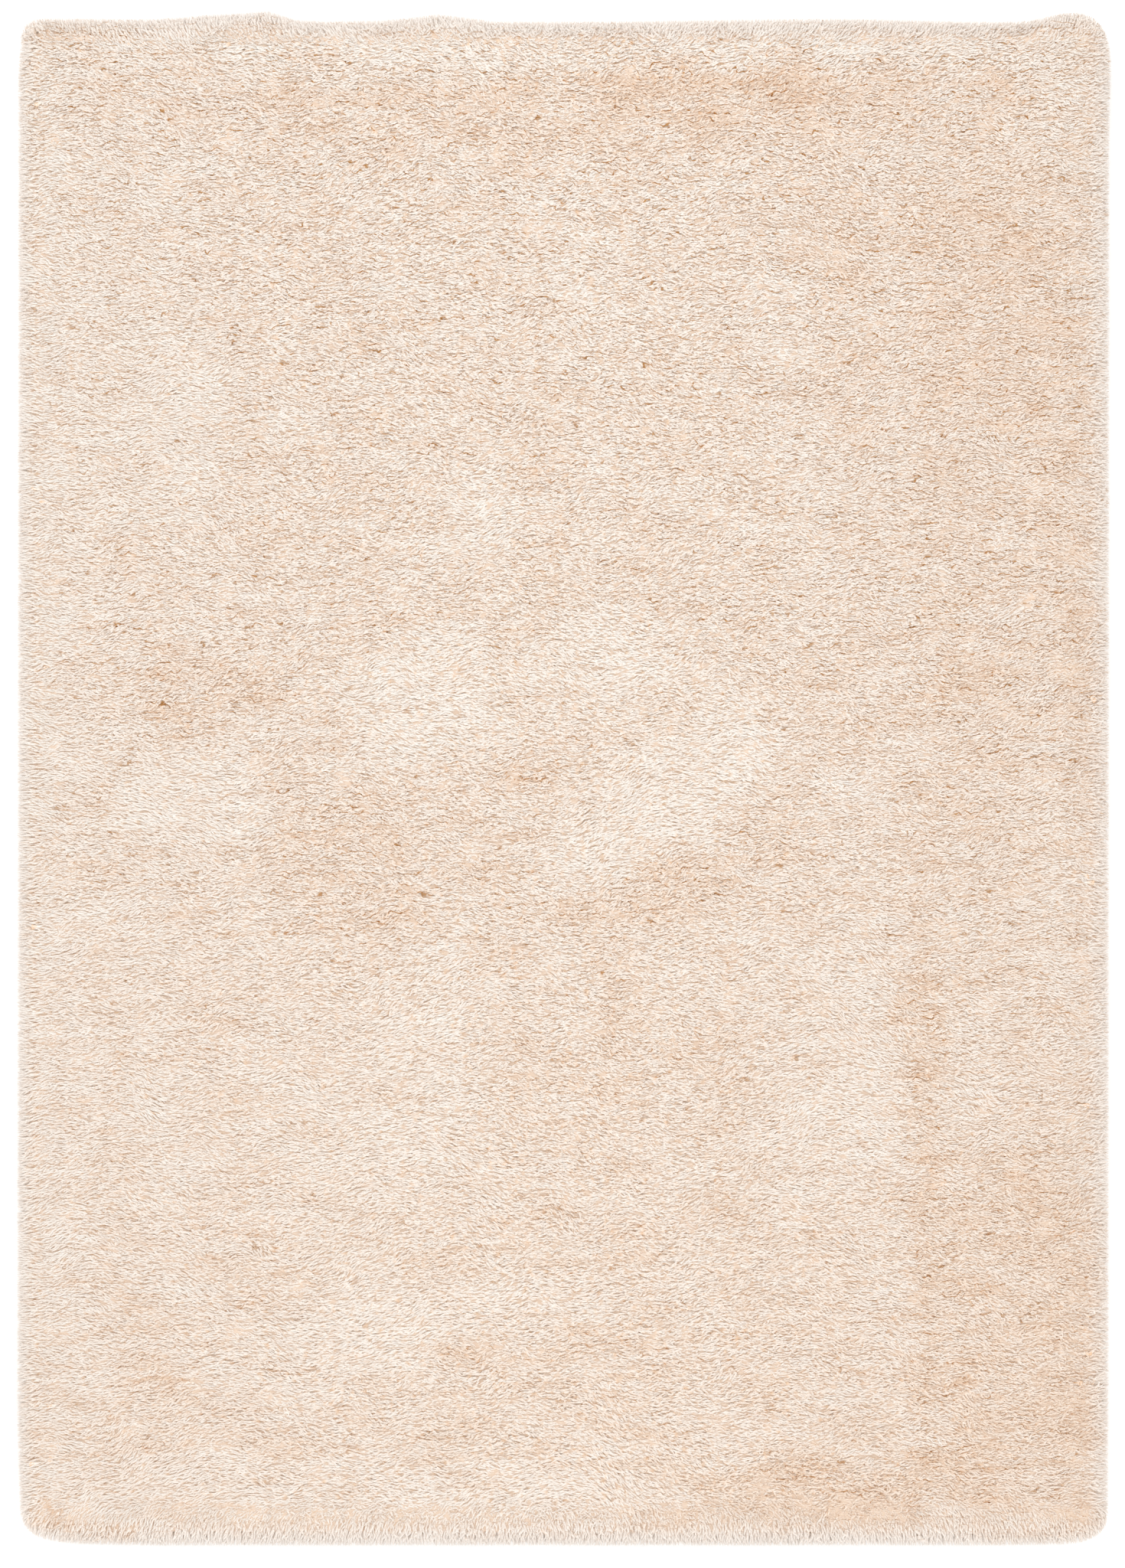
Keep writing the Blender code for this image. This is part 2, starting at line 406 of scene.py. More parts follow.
def find_rim(x, y):
    """Distance of each place from the outline, and the unit direction towards it."""
    points = outline_points()
    tree = KDTree(len(points))
    for k, point in enumerate(points):
        tree.insert(point, k)
    tree.balance()
    inset = np.full(len(x), 1.0)
    towards = np.zeros((len(x), 2))
    near = np.minimum(RUG_WIDTH / 2 - np.abs(x), RUG_LENGTH / 2 - np.abs(y)) < RIM_LOOK
    for k in np.flatnonzero(near):
        here = Vector((x[k], y[k], 0))
        found, _, away = tree.find(here)
        inset[k] = away
        towards[k] = ((found - here) / max(away, RIM_NEAREST))[:2]
    return inset, towards


inset, towards_rim = find_rim(tip[:, 0], tip[:, 1])
print(f"{np.mean(inset < 0.02) * 100:.0f}% of the tips are within 20 mm of the outline")

# %% [markdown]
# Brushed shag falls into locks: a dozen or two neighbouring ends lean the same way.
# Each end finds its lock as the nearest of a field of jittered seeds, in a measure
# that is stretched across the rug, because the pile is brushed that way.

# %% Locks of yarn
LOCK_LENGTH = 0.024
LOCK_WIDTH = 0.010
LOCK_WAVE = 0.010                     # how far the rows of locks wander
LOCK_JITTER = (0.08, 0.92)            # where in its cell a lock's seed may lie
LOCK_SEED = 11


def find_locks(x, y):
    """The number of the lock that each place belongs to."""
    u = (x + LOCK_WAVE * drift(x, y, 0.16, LOCK_SEED)) / LOCK_LENGTH
    v = (y + LOCK_WAVE * drift(x, y, 0.11, LOCK_SEED + 1)) / LOCK_WIDTH
    u0, v0 = int(np.floor(u.min())) - 2, int(np.floor(v.min())) - 2
    span_u, span_v = int(np.ceil(u.max())) - u0 + 3, int(np.ceil(v.max())) - v0 + 3
    jitter = np.random.default_rng(LOCK_SEED).uniform(*LOCK_JITTER, (span_u, span_v, 2))
    cell_u, cell_v = np.floor(u).astype(int), np.floor(v).astype(int)
    nearest = np.full(len(u), np.inf)
    number = np.zeros(len(u), int)
    for step_u in (-1, 0, 1):
        for step_v in (-1, 0, 1):
            i, j = cell_u + step_u - u0, cell_v + step_v - v0
            seed_u = cell_u + step_u + jitter[i, j, 0]
            seed_v = cell_v + step_v + jitter[i, j, 1]
            away = np.hypot(u - seed_u, v - seed_v)
            number = np.where(away < nearest, i * span_v + j, number)
            nearest = np.minimum(nearest, away)
    return number


lock = find_locks(tip[:, 0], tip[:, 1])
lock_count = lock.max() + 1
print(f"{len(np.unique(lock))} locks, about {len(tip) / len(np.unique(lock)):.0f} ends in each")

# %% [markdown]
# Some parts of the rug are brushed flat and look pale, others stand ruffled and look
# warmer. Part of that is a soft drift, drawn out across the rug as the brush was. The
# patches that catch the eye in the picture are listed. Each is a box with round
# corners and a soft edge, and a finer drift makes that edge ragged.

# %% Flat and ruffled patches
RUFFLE_MEAN = 0.40
RUFFLE_DRIFT = 0.05
RUFFLE_BRUSHED = 0.06                 # height of the part that is drawn out across the rug
RUFFLE_MOST = 1.2
RUFFLE_SEED = 71
PATCH_SHARE = 0.42                    # how strongly the list below acts
PATCH_WARP = 0.009
PATCH_EDGE = (0.6, 1.3)               # where a patch begins to fade and has faded, in half sizes
PATCHES = (
    # name                       x      y      half x  half y  turn  ruffle
    ("pale top band, left",     -0.382,  1.027,  0.343,  0.026,     0,   -0.8),
    ("pale top band, right",     0.370,  1.027,  0.289,  0.021,     0,   -0.8),
    ("pale, left side",         -0.631,  0.590,  0.137,  0.321,     0,   -0.3),
    ("pale, upper left",        -0.554,  0.527,  0.086,  0.099,     0,   -0.4),
    ("pale, left",              -0.500,  0.399,  0.096,  0.043,     0,   -0.4),
    ("pale, above middle",      -0.121,  0.371,  0.056,  0.056,     0,   -0.7),
    ("pale, upper right",        0.303,  0.632,  0.043,  0.077,     0,   -0.5),
    ("palest",                  -0.194,  0.118,  0.107,  0.086,    12,   -1.2),
    ("pale, right of palest",    0.051,  0.176,  0.107,  0.064,     0,   -1.0),
    ("pale, left edge",         -0.532, -0.032,  0.094,  0.066,     0,   -1.1),
    ("pale diagonal, middle",    0.147, -0.032,  0.197,  0.071,    38,   -1.0),
    ("pale, lower middle",      -0.200, -0.411,  0.064,  0.204,     0,   -0.5),
    ("pale, lower right",        0.378, -0.422,  0.103,  0.204,     0,   -0.5),
    ("pale diagonal, lower",    -0.147, -0.750,  0.214,  0.036,     6,   -0.7),
    ("pale, along the left",    -0.708, -0.240,  0.056,  0.857,     0,   -0.3),
    ("pale, lower left",        -0.425, -0.540,  0.300,  0.386,     0,   -0.3),
    ("pale, left edge strip",   -0.742,  0.017,  0.028,  1.029,     0,   -0.9),
    ("pale, bottom",            -0.297, -1.007,  0.450,  0.060,     0,   -0.7),
    ("ruffled, top",             0.025,  0.926,  0.643,  0.060,     0,    0.8),
    ("ruffled, top right",       0.261,  0.958,  0.240,  0.039,     0,    0.9),
    ("ruffled, right side",      0.614,  0.403,  0.129,  0.514,     0,    0.6),
    ("ruffled, upper right",     0.480,  0.700,  0.250,  0.190,     0,    0.5),
    ("ruffled, beside that",     0.378,  0.135,  0.051,  0.107,     0,    0.5),
    ("ruffled, middle upper",    0.100,  0.347,  0.039,  0.058,     0,    0.6),
    ("ruffled, beside palest",  -0.046,  0.017,  0.047,  0.032,     0,    0.8),
    ("ruffled, left",           -0.496,  0.125,  0.103,  0.051,     0,    0.7),
    ("ruffled, lower left",     -0.297, -0.150,  0.133,  0.107,     0,    0.6),
    ("ruffled, below middle",    0.093, -0.175,  0.094,  0.039,    10,    0.9),
    ("ruffled, right of that",   0.235, -0.118,  0.086,  0.043,    30,    0.5),
    ("ruffled, under that",      0.068, -0.304,  0.034,  0.086,     0,    0.5),
    ("ruffled, lower corner",   -0.549, -0.818,  0.069,  0.077,     0,    0.5),
    ("ruffled, bottom",         -0.072, -0.782,  0.107,  0.036,     0,    0.6),
    ("ruffled, bottom right",    0.368, -0.990,  0.204,  0.043,     0,    0.9),
    ("ruffled, right corner",    0.640, -0.775,  0.111,  0.268,     0,    0.7),
    ("fold line, right",         0.505, -0.540,  0.019,  0.450,     0,    0.9),
    ("right edge",               0.726, -0.499,  0.026,  0.900,     0,    0.2),
)


def ruffle_field(x, y):
    """How ruffled the pile is at each place: 0 is brushed flat, 1 stands in all directions."""
    ruffle = RUFFLE_MEAN + RUFFLE_DRIFT * drift(x, y, 0.22, RUFFLE_SEED)
    ruffle += RUFFLE_BRUSHED * drift(x / 6, y, 0.04, RUFFLE_SEED + 1)
    ragged = drift(x, y, 0.13, RUFFLE_SEED + 2) + drift(x / 4, y, 0.022, RUFFLE_SEED + 4)
    x = x + PATCH_WARP * ragged
    y = y + PATCH_WARP * drift(x, y, 0.11, RUFFLE_SEED + 3)
    for _, at_x, at_y, half_x, half_y, turn, amount in PATCHES:
        off_x, off_y = x - at_x, y - at_y
        run_x, run_y = cos(radians(turn)), sin(radians(turn))
        along = np.abs(off_x * run_x + off_y * run_y) / half_x
        aside = np.abs(off_y * run_x - off_x * run_y) / half_y
        away = np.cbrt(along ** 3 + aside ** 3)
        ruffle += PATCH_SHARE * amount * (1 - smooth_share(away, *PATCH_EDGE))
    return np.clip(ruffle, 0, RUFFLE_MOST)


ruffle = ruffle_field(tip[:, 0], tip[:, 1])
print(f"ruffle from {ruffle.min():.2f} to {ruffle.max():.2f}, {ruffle.mean():.2f} on average")

# %% [markdown]
# Between the locks the pile parts in thin wavy cracks that run across the rug, and
# the deeper, warmer yarn shows in them. They come and go: a stretched drift has one
# wherever it passes through zero, and a second, broader drift says where they open.
# A few partings are long or deep enough to be seen one by one, so they are listed.
# The finest cracks are thinner than an end, so their shade is painted into the yarn's colour.

# %% Partings in the pile
ROW_SPACING = 0.022
ROW_STRETCH = 5                       # how much longer the cracks are than they are apart
ROW_HALF = 0.0017                     # half width of a crack
ROW_BENDS = 0.004
ROW_SEED = 61
ROW_OPEN = (0.00, 1.00)               # where the cracks begin to open, and are fully open
ROW_LEAST_SLOPE = 60                  # keeps the distance small where the drift is level
PROBE = 0.0004                        # step along y that measures the drift's slope
RUFFLE_MIDDLE = 0.45                  # a patch more ruffled than this has more and wider cracks
PARTING_WAVER = 0.004                 # how far a listed parting strays from its straight line
PARTING_NEAR = 0.3                    # from this depth on, a listed parting pushes the ends
PARTINGS = (
    # name                 x0      y0      x1      y1     half    strength
    ("long parting",       0.014,  0.977,  0.690,  0.968, 0.004,  0.9),
    ("corner crease",      0.600,  0.984,  0.630,  0.962, 0.005,  1.2),
    ("left parting",      -0.430,  0.945,  0.000,  0.958, 0.007,  0.5),
    ("lower left crack",  -0.613, -0.843, -0.525, -0.842, 0.004,  1.3),
    ("lower right crack",  0.512, -0.842,  0.577, -0.843, 0.004,  1.3),
    ("corner crack",      -0.731, -1.011, -0.702, -1.028, 0.004,  2.4),
    ("middle nick",       -0.066, -0.004, -0.056, -0.012, 0.003,  2.4),
)


def stretch_side(x, y, x0, y0, x1, y1):
    """Distance of each place from a stretch between two points, and +1 above it or -1 below."""
    run_x, run_y = x1 - x0, y1 - y0
    share = np.clip(((x - x0) * run_x + (y - y0) * run_y) / (run_x ** 2 + run_y ** 2), 0, 1)
    off_x, off_y = x - x0 - share * run_x, y - y0 - share * run_y
    return np.hypot(off_x, off_y), np.where(off_y > 0, 1, -1)


def from_crack(x, y):
    """Signed distance along y of each place from the nearest wavy crack."""
    level = drift(x / ROW_STRETCH, y, ROW_SPACING, ROW_SEED, 12)
    slope = (drift(x / ROW_STRETCH, y + PROBE, ROW_SPACING, ROW_SEED, 12) - level) / PROBE
    least = ROW_LEAST_SLOPE * np.where(slope < 0, -1, 1)
    return level / np.where(np.abs(slope) < ROW_LEAST_SLOPE, least, slope)


def partings(x, y):
    """How deep each place lies in a parting, and which way it is pushed along y."""
    bent = y + ROW_BENDS * drift(x, y, 0.05, ROW_SEED + 1)
    above = from_crack(x, bent)
    mood = 0.5 * drift(x, y, 0.13, ROW_SEED + 2) + 0.8 * drift(x / 2, y, 0.03, ROW_SEED + 3)
    mood += 2 * (ruffle - RUFFLE_MIDDLE)
    depth = np.exp(-(above / ROW_HALF) ** 2) * smooth_share(mood, *ROW_OPEN)
    push = np.sign(above) * depth
    waver = PARTING_WAVER * drift(x, y, 0.035, ROW_SEED + 4)
    for _, x0, y0, x1, y1, half, strength in PARTINGS:
        away, side = stretch_side(x, y + waver, x0, y0, x1, y1)
        near = strength * np.exp(-(away / half) ** 2)
        depth = np.maximum(depth, near)
        push = np.where(near > PARTING_NEAR, side * near, push)
    return depth, push


parting_depth, parting_push = partings(tip[:, 0], tip[:, 1])
print(f"{np.mean(parting_depth > 0.5) * 100:.0f}% of the ends stand in a parting")

# %% [markdown]
# Now the lie of the pile. In the field it is brushed across the rug. Near the left
# edge the ends point left and near the right edge they point right, and in between
# each end has fallen one way or the other. Towards a short edge the ends turn to it,
# and in the corners they fan out. Directions are blended as vectors, not as angles,
# so that the turn is smooth.

# %% Lie of the pile
EDGE_SPLAY = {"left": 0.035, "right": 0.035, "bottom": 0.075, "top": 0.060}
EDGE_SPLAY_FULL = 0.1                 # share of that width where the ends are fully turned
EDGE_KEEP = 0.2                       # share of the field's direction that is left there
EDGE_PULL = 1.1                       # strength of the edge's own direction
PARTING_TURN = 0.25                   # how strongly a parting turns its ends aside
FIELD_WANDER = 0.15                   # radians, like the next two
LOCK_TURN = 0.14
END_TURN = 0.32
LIE_SEED = 31


def lie(x, y):
    """Direction in plan of each end, longer where it lies flatter."""
    draw = np.random.default_rng(LIE_SEED + 2)
    heading = FIELD_WANDER * drift(x, y, 0.34, LIE_SEED)
    heading += FIELD_WANDER * drift(x, y, 0.09, LIE_SEED + 1)
    heading += draw.normal(0, LOCK_TURN, lock_count)[lock]
    share_right = smooth_share(x, -RUG_WIDTH / 2, RUG_WIDTH / 2)
    points_right = draw.uniform(0, 1, len(x)) < share_right
    flow = np.stack([np.cos(heading), np.sin(heading)], 1) * np.where(points_right, 1, -1)[:, None]
    flow[:, 1] += PARTING_TURN * parting_push
    room = {
        "left": x - rug_low.x,
        "right": rug_high.x - x,
        "bottom": y - rug_low.y,
        "top": rug_high.y - y,
    }
    away = {"left": (-1, 0), "right": (1, 0), "bottom": (0, -1), "top": (0, 1)}
    for edge, splay in EDGE_SPLAY.items():
        share = 1 - smooth_share(room[edge], EDGE_SPLAY_FULL * splay, splay)[:, None]
        flow = flow * (1 - (1 - EDGE_KEEP) * share) + np.array(away[edge]) * EDGE_PULL * share
    turn = draw.normal(0, END_TURN, len(x)) * (0.7 + 0.6 * ruffle)
    return np.stack([flow[:, 0] * np.cos(turn) - flow[:, 1] * np.sin(turn),
                     flow[:, 0] * np.sin(turn) + flow[:, 1] * np.cos(turn)], 1)


flow = lie(tip[:, 0], tip[:, 1])
print(f"flattest {np.hypot(*flow.T).max():.2f}, most upright {np.hypot(*flow.T).min():.2f}")

# %% [markdown]
# One yarn end is modelled once: a slim three-sided spike, broad at its root, which
# stays hidden between its neighbours, and pointed at its tip. It is Blender's cone
# with three sides. Four faces are enough, because an end is 3 mm thick where it shows
# and there are nearly a quarter of a million of them.

# %% One yarn end
def model_end():
    """A unit yarn end: root ring of radius 1 at 0, tip at 1, as vertices and faces."""
    deselect_all()
    bpy.ops.mesh.primitive_cone_add(
        vertices=3, radius1=1, radius2=0, depth=1, end_fill_type="NGON", location=(0, 0, 0.5))
    made = bpy.context.object
    bpy.ops.object.transform_apply(location=True)
    points = np.array([vert.co[:] for vert in made.data.vertices])
    faces = np.array([face.vertices[:] for face in made.data.polygons])
    bpy.data.objects.remove(made)
    return points, faces


end_points, end_faces = model_end()
print(f"one end has {len(end_points)} points and {len(end_faces)} faces")

# %% [markdown]
# Planting is arithmetic on arrays. The tip stays on the CAD surface, sunk a little
# where the pile parts, and near the rim it is drawn out to the outline. The root lies
# back along the lie of the pile and down. Each end gets a frame of three directions:
# along the yarn, to its side, and over it. They form a right-handed set, because a
# left-handed one would mirror the spike and turn its faces inside out.

# %% Plant the ends
END_LENGTH = 0.018
LENGTH_SPREAD = (0.78, 1.22)
END_WIDTH = 0.0080                    # at the root; an end shows the last third of its length
WIDTH_SPREAD = (0.72, 1.28)
END_FLATNESS = 0.10                   # height of an end's section for its width
END_ROLL = 0.15                       # radians
END_LOWEST = 0.0008                   # least height over the cloth
UPRIGHT = 0.35                        # rise of an end for each unit of its reach sideways
UNDECIDED_RISE = 0.9                  # further rise where the directions cancel out
DROOP = 0.25                          # fall and outward lean of the ends on the steep sides
PARTING_SINK = 0.0005
PARTING_OPEN = 0.0003
RIM_BAND = 0.030                      # ends this near to the outline are drawn out to it
RIM_DRAW = 0.45                       # by this share of their distance
RIM_PASS = 0.005                      # and by this, for pointed tips must pass it to fill it
STRAY = 0.0001                        # spread of the tips' height
PLANT_SEED = 41


def plant(chosen):
    """World points of the chosen ends: array of ends x points x 3."""
    draw = np.random.default_rng(PLANT_SEED)
    count = len(tip)
    length = END_LENGTH * draw.uniform(*LENGTH_SPREAD, count)
    width = END_WIDTH * draw.uniform(*WIDTH_SPREAD, count)
    height = STRAY * (0.5 + ruffle) * draw.normal(0, 1, count)
    height += 0.5 * STRAY * draw.normal(0, 1, lock_count)[lock]
    roll = draw.uniform(-END_ROLL, END_ROLL, count)
    top = tip.copy()
    calm = np.clip(outward[:, 2], 0, 1)
    top[:, 1] += PARTING_OPEN * parting_push * calm
    top[:, 2] += (height - PARTING_SINK * parting_depth) * calm
    drawn = (1 - smooth_share(inset, 0, RIM_BAND)) * (RIM_DRAW * inset + RIM_PASS)
    top[:, :2] += towards_rim * drawn[:, None]
    flat = np.hypot(*flow.T)
    rise = UPRIGHT * (0.95 + 0.1 * ruffle) + UNDECIDED_RISE * np.clip(1 - flat, 0, 1)
    aim = np.stack([flow[:, 0], flow[:, 1], rise], 1)
    steep = 1 - calm
    aim[:, 2] -= steep * (UPRIGHT + DROOP)
    aim += outward * DROOP * steep[:, None]
    aim /= np.linalg.norm(aim, axis=1)[:, None]
    side = np.cross((0, 0, 1), aim)
    side /= np.linalg.norm(side, axis=1)[:, None]
    over = np.cross(aim, side)
    turned_side = side * np.cos(roll)[:, None] + over * np.sin(roll)[:, None]
    turned_over = np.cross(aim, turned_side)
    half = width[:, None] / 2
    made = top[:, None] - aim[:, None] * (length[:, None] * (1 - end_points[:, 2]))[..., None]
    made += turned_side[:, None] * (half * end_points[:, 0])[..., None]
    made += turned_over[:, None] * (END_FLATNESS * half * end_points[:, 1])[..., None]
    made[..., 2] = np.maximum(made[..., 2], CLOTH_THICK + END_LOWEST)
    return made[chosen]


one_end = plant(np.array([len(tip) // 2]))[0]
print(f"one of the ends is {np.ptp(one_end, axis=0).max() * MM_PER_M:.0f} mm long in plan")

# %% [markdown]
# All of a strip's ends become one mesh, because so many objects would stop Blender.
# Each point knows how far along the yarn it is, and each end carries its own looks.
# The mesh also gets a map named OFBake, on which the material can be baked into a picture.
# It lays the ends out as seen from above, each drawn in towards its tip, so that the part
# of an end that shows has a place of its own in the picture.

# %% One mesh for many ends
BAKE_DRAW_IN = 0.35                   # share of its own length that an end keeps on that map


def as_mesh(name, points, looks):
    """One mesh of many ends, with how far along the yarn a point is, and each end's looks."""
    count, size = points.shape[:2]
    faces = (end_faces[None] + (np.arange(count) * size)[:, None, None]).reshape(-1)
    data = bpy.data.meshes.new(name)
    data.vertices.add(count * size)
    data.vertices.foreach_set("co", points.ravel())
    data.loops.add(len(faces))
    data.loops.foreach_set("vertex_index", faces)
    data.polygons.add(len(faces) // 3)
    data.polygons.foreach_set("loop_start", np.arange(0, len(faces), 3))
    data.update(calc_edges=True)
    data.shade_flat()
    reach = data.attributes.new("reach", "FLOAT", "POINT")
    reach.data.foreach_set("value", np.tile(end_points[:, 2], count))
    for look, values in looks.items():
        carried = data.attributes.new(look, "FLOAT", "POINT")
        carried.data.foreach_set("value", np.repeat(values, size))
    plan = points[..., :2]
    at_tip = plan[:, end_points[:, 2].argmax()][:, None]
    drawn_in = at_tip + BAKE_DRAW_IN * (plan - at_tip)
    low, high = drawn_in.min(axis=(0, 1)), drawn_in.max(axis=(0, 1))
    bake_map = data.uv_layers.new(name="OFBake")
    bake_map.uv.foreach_set("vector", ((drawn_in - low) / (high - low)).reshape(-1, 2)[faces].ravel())
    made = bpy.data.objects.new(name, data)
    bpy.context.scene.collection.objects.link(made)
    return made


print(f"on the map an end keeps {BAKE_DRAW_IN:.0%} of its length")

# %% [markdown]
# Three looks steer the colour. The tone runs from tan to nearly white. It differs at random
# from end to end and from lock to lock, and it carries painted shade: ruffled patches and
# partings are painted warmer and darker, and so are thin streaks where a row of locks
# stands up. The rim light says how near an end is to the rim, where light passes through
# the pile; that light is painted as a paler tone. The fleck-and-shade look says how clearly
# the fibres' flecks and the painted shade of the fine cracks are drawn: a flat patch looks
# smooth, and the upper part of the picture is crisper than the lower.

# %% Tones and strips
END_TONE = 0.02                       # spread of the tone from end to end
LOCK_TONE = 0.02                      # and from lock to lock
RUFFLE_SHADE_TONE = 0.26                    # how much warmer and darker a ruffled patch is painted, as shade
PARTING_SHADE_TONE = 0.22                   # and a parting, as painted shade
STREAK_SHADE_TONE = 0.035                   # and a streak, as painted shade
UPWARD_TONE = 0.05                    # how much paler for each metre up the picture
LEAST_TONE = 0.08
TONE_SEED = 51
STREAK_LENGTH = 0.018                 # from one streak to the next
STREAK_STRETCH = 9                    # how much longer they are across the rug
RIM_LIGHT_BAND = 0.6                        # beyond this x on either side, the painted rim light is a long edge's
RIM_LIGHT_WIDTH, RIM_LIGHT_WIDTH_LEFT = 0.034, 0.018
RIM_LIGHT_SHARE, RIM_LIGHT_SHARE_RIGHT = 1.0, 0.75
# The fleck-and-shade strength sets how strongly the fibres' flecks and the painted shade of the fine
# cracks show.
FLECK_LEAST = 0.50                    # how much the fibres' flecks show in a flat patch
FLECK_RUFFLED = 0.80                  # and how much more in a ruffled one
FLECK_STREAKED = 0.06                 # and in a streak
FLECK_UPWARD = 0.30                   # and for each metre up the picture
FLECK_RIM_LIGHT = 0.7                       # and how much less where rim light is painted
FLECK_MOST = 1.5
STRIPS = 5                            # pieces that the pile is shared out to, top to bottom

tone_draw = np.random.default_rng(TONE_SEED)
tones = 0.5 + END_TONE * tone_draw.normal(0, 1, len(tip))
tones += LOCK_TONE * tone_draw.normal(0, 1, lock_count)[lock]
streaks = drift(tip[:, 0] / STREAK_STRETCH, tip[:, 1], STREAK_LENGTH, RUFFLE_SEED + 5, 12)
# Painted shade: ruffled patches, partings and streaks get a darker, warmer tone.
tones -= RUFFLE_SHADE_TONE * (ruffle - RUFFLE_MIDDLE) + PARTING_SHADE_TONE * parting_depth
tones += UPWARD_TONE * tip[:, 1] - STREAK_SHADE_TONE * streaks
tones = np.maximum(tones, LEAST_TONE)

# Painted light at the rim: a paler tone near the outline, narrower on the left and weaker on the right.
rim_light_width = np.where(tip[:, 0] < -RIM_LIGHT_BAND, RIM_LIGHT_WIDTH_LEFT, RIM_LIGHT_WIDTH)
rim_light_strength = np.where(tip[:, 0] > RIM_LIGHT_BAND, RIM_LIGHT_SHARE_RIGHT, RIM_LIGHT_SHARE)
rim_light_mask = rim_light_strength * (1 - smooth_share(inset, 0, rim_light_width))

fleck_and_shade_strength = FLECK_LEAST + FLECK_RUFFLED * ruffle + FLECK_STREAKED * streaks
fleck_and_shade_strength = np.clip(fleck_and_shade_strength, 0, FLECK_MOST)
fleck_and_shade_strength *= (1 - FLECK_RIM_LIGHT * rim_light_mask) * (1 + FLECK_UPWARD * tip[:, 1])

order = np.argsort(-tip[:, 1], kind="stable")
pile = []
for number, chosen in enumerate(np.array_split(order, STRIPS), 1):
    looks = {"tone_and_shade": tones[chosen], "rim_light": rim_light_mask[chosen], "fleck_and_shade": fleck_and_shade_strength[chosen]}
    strip = as_mesh(f"pile_strip_{number}", plant(chosen), looks)
    pile.append(strip)
    print(f"{strip.name}: {len(chosen)} ends, {len(strip.data.polygons)} faces")

# %% [markdown]
# Three materials follow: the yarn, its deep strands and the woven cloth. All three
# are a Principled shader with a few texture nodes, so three helpers do what repeats.
# One adds a node with its settings, one starts a matt material, and one fills a ramp.

# %% Helpers for the finishes
SHEEN = 0.1                           # yarn and cloth hardly mirror anything
TINT = {"data_type": "RGBA", "blend_type": "MULTIPLY"}    # a mix that tints one colour by another


def add_node(material, kind, inputs=None, **settings):
    """A new shader node with its inputs and settings filled in."""
    node = material.node_tree.nodes.new(kind)
    for name, value in settings.items():
        setattr(node, name, value)
    for name, value in (inputs or {}).items():
        node.inputs[name].default_value = value
    return node


def new_material(name, roughness):
    """A material with its Principled shader and a function that links two sockets."""
    material = bpy.data.materials.new(name)
    material.use_nodes = True
    shader = material.node_tree.nodes["Principled BSDF"]
    shader.inputs["Roughness"].default_value = roughness
    shader.inputs["Specular IOR Level"].default_value = SHEEN
    return material, shader, material.node_tree.links.new


def ramp_stops(ramp, stops):
    """Set a colour ramp to the given places and colours."""
    elements = ramp.color_ramp.elements
    while len(elements) < len(stops):
        elements.new(0.5)
    for element, (place, colour) in zip(elements, stops):
        element.position = place
        element.color = (*colour, 1)


print("helpers for nodes, materials and ramps are ready")

# %% [markdown]
# The yarn is matt cream. Each end has its own tone, from tan to nearly white; part of that
# is random, and part is painted shade. Towards its root each end is painted darker and
# warmer, as shade, where little light comes. Towards the rim a paler tone takes over:
# painted light, where light passes through the thin edge of the pile. A fine noise breaks
# the surface into fibres, as bump and in colour; its dark flecks are partly the fibres'
# grain and partly painted shade between them. The finest cracks are painted shade: bands
# of a wave texture, bent by its own distortion, and a stretched noise says where they
# show. Everything is measured in the rug's own coordinates, so that the pattern runs on
# from one strip to the next.

# %% Yarn finish
# The ramp serves both the ends' own tones and the painted shade that lowers them.
YARN_TONES_AND_SHADE = (                        # share of the way from the warmest end to the palest
    (0.00, (0.660, 0.470, 0.330)),
    (0.30, (0.770, 0.645, 0.538)),
    (0.50, (0.786, 0.710, 0.640)),
    (0.75, (0.803, 0.766, 0.718)),
    (1.00, (0.815, 0.790, 0.750)),
)
# Painted shade: each end is darker and warmer towards its root, where little light comes.
ROOT_SHADE_TINT = ((0.15, (0.94, 0.77, 0.61)), (0.62, (1.0, 1.0, 1.0)))
# Painted light: the paler tone at the rim, where light passes through the pile.
RIM_LIGHT_TONE = (0.798, 0.744, 0.694)
CRACK_SCALE = 42                      # bands 7.5 mm apart: a wave repeats each 0.314 / scale m
CRACK_WANDER = 16
CRACK_WAVES = 0.7
# Painted shade: the dark, warm colour of the finest cracks between locks.
CRACK_SHADE_TINT = ((0.02, (0.57, 0.34, 0.15)), (0.10, (1.0, 1.0, 1.0)))
CRACK_GAPS = (70, 240, 70)            # scale of the noise that breaks them into dashes
CRACK_SHOWS = (0.46, 0.56)            # where that noise starts to show them, and shows them fully
# The fibres' dark flecks: partly their grain, partly painted shade between them.
FIBRE_GRAIN_AND_SHADE_TINT = ((0.30, (0.51, 0.41, 0.34)), (0.43, (1.0, 1.0, 1.0)))
FIBRE_GRAIN = (280, 620, 560)         # flecks 1.6 mm thick, and longer across the rug


